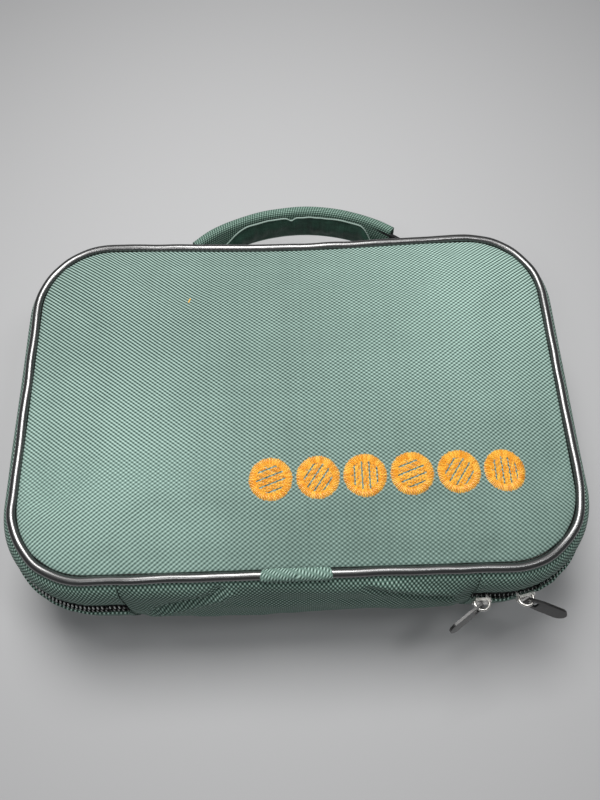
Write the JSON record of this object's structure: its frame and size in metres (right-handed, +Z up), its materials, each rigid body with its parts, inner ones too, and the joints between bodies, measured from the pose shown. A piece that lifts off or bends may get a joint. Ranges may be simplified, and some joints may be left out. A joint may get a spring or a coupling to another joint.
{
  "type": "zipped boules case",
  "caption": "Soft zipped carrying case with piped edges, a padded grab handle and a formed tray that holds a set of steel boules and a wooden jack.",
  "frame": {"origin": "middle of the base, on the surface that the case lies on", "axes": "+X along the case to the end with the zip sliders, +Y from the hinge panel to the handle, +Z up"},
  "size_m": [0.264, 0.229, 0.087],
  "materials": {
    "woven_cover": "coarse woven polyester, satin",
    "smooth_fabric": "smooth coated cloth",
    "binding": "black woven tape",
    "webbing": "black webbing",
    "lining": "black nylon lining",
    "foam": "padding foam",
    "piping": "glossy",
    "coil": "glossy nylon",
    "nickel": "bright nickel",
    "pull": "black enamel",
    "board": "grey board",
    "tray": "flocked look, black",
    "boule_steel": "satin, turned",
    "boxwood": "waxed"
  },
  "bodies": {
    "base": {"base_cover": "smooth_fabric", "base_board": "board", "base_gusset": "woven_cover", "base_lining": "lining", "base_piping": "piping", "base_piping_tab": "woven_cover", "hinge_panel": "woven_cover", "closed_zip_tape": "binding", "closed_zip_coil": "coil", "base_zip_tape": "binding", "base_zip_coil": "coil", "tray": "tray", "jack_cups": "tray", "handle_webbing": "webbing"},
    "lid": {"lid_cover": "woven_cover", "lid_foam": "foam", "lid_lining": "lining", "lid_piping": "piping", "lid_piping_tab": "woven_cover", "lid_gusset": "woven_cover", "lid_seam_binding": "binding", "lid_zip_tape": "binding", "lid_zip_coil": "coil"},
    "handle": {"handle_sleeve": "woven_cover", "handle_padding": "foam", "handle_lining": "smooth_fabric"},
    "slider_a": {"slider_a": "nickel"},
    "slider_b": {"slider_b": "nickel"},
    "pull_tab_a": {"pull_tab_a": "pull"},
    "pull_tab_b": {"pull_tab_b": "pull"},
    "jack": {"jack": "boxwood"},
    "boule_1": {"boule_1": "boule_steel"},
    "boule_2": {"boule_2": "boule_steel"},
    "boule_3": {"boule_3": "boule_steel"},
    "boule_4": {"boule_4": "boule_steel"},
    "boule_5": {"boule_5": "boule_steel"},
    "boule_6": {"boule_6": "boule_steel"}
  },
  "joints": [
    {"name": "lid_open", "type": "hinge", "parent": "base", "child": "lid", "pos_m": [0, -0.0935, 0.057], "axis": [1, 0, 0], "range_deg": [0, 180], "deforming": ["hinge_panel"]},
    {"name": "handle_swing", "type": "hinge", "parent": "base", "child": "handle", "pos_m": [0, 0.094, 0.041], "axis": [1, 0, 0], "range_deg": [-45, 45], "deforming": ["handle_webbing"]},
    {"name": "slider_a_slide", "type": "slide", "parent": "base", "child": "slider_a", "axis": [1, 0, 0], "range_m": [0, 0.0045]},
    {"name": "slider_b_slide", "type": "hinge", "parent": "base", "child": "slider_b", "pos_m": [0.087, -0.046, 0.057], "axis": [0, 0, 1], "range_deg": [0, 70]},
    {"name": "pull_a_swing", "type": "hinge", "parent": "slider_a", "child": "pull_tab_a", "pos_m": [0.0783, -0.09263, 0.0579], "axis": [-0.342, 0.2272, 0.9118], "range_deg": [-20, 70]},
    {"name": "pull_b_swing", "type": "hinge", "parent": "slider_b", "child": "pull_tab_b", "pos_m": [0.09781, -0.09136, 0.0579], "axis": [-0.28, -0.3003, -0.9118], "range_deg": [-20, 70]},
    {"name": "boule_1_turn", "type": "hinge", "parent": "base", "child": "boule_1", "pos_m": [-0.081, -0.0405, 0.0414], "axis": [0, 0, 1], "continuous": true},
    {"name": "boule_2_turn", "type": "hinge", "parent": "base", "child": "boule_2", "pos_m": [0, -0.0405, 0.0414], "axis": [0, 0, 1], "continuous": true},
    {"name": "boule_3_turn", "type": "hinge", "parent": "base", "child": "boule_3", "pos_m": [0.081, -0.0405, 0.0414], "axis": [0, 0, 1], "continuous": true},
    {"name": "boule_4_turn", "type": "hinge", "parent": "base", "child": "boule_4", "pos_m": [-0.081, 0.0405, 0.0414], "axis": [0, 0, 1], "continuous": true},
    {"name": "boule_5_turn", "type": "hinge", "parent": "base", "child": "boule_5", "pos_m": [0, 0.0405, 0.0414], "axis": [0, 0, 1], "continuous": true},
    {"name": "boule_6_turn", "type": "hinge", "parent": "base", "child": "boule_6", "pos_m": [0.081, 0.0405, 0.0414], "axis": [0, 0, 1], "continuous": true},
    {"name": "jack_turn", "type": "hinge", "parent": "base", "child": "jack", "pos_m": [-0.0405, 0, 0.0365], "axis": [0, 0, 1], "continuous": true}
  ]
}
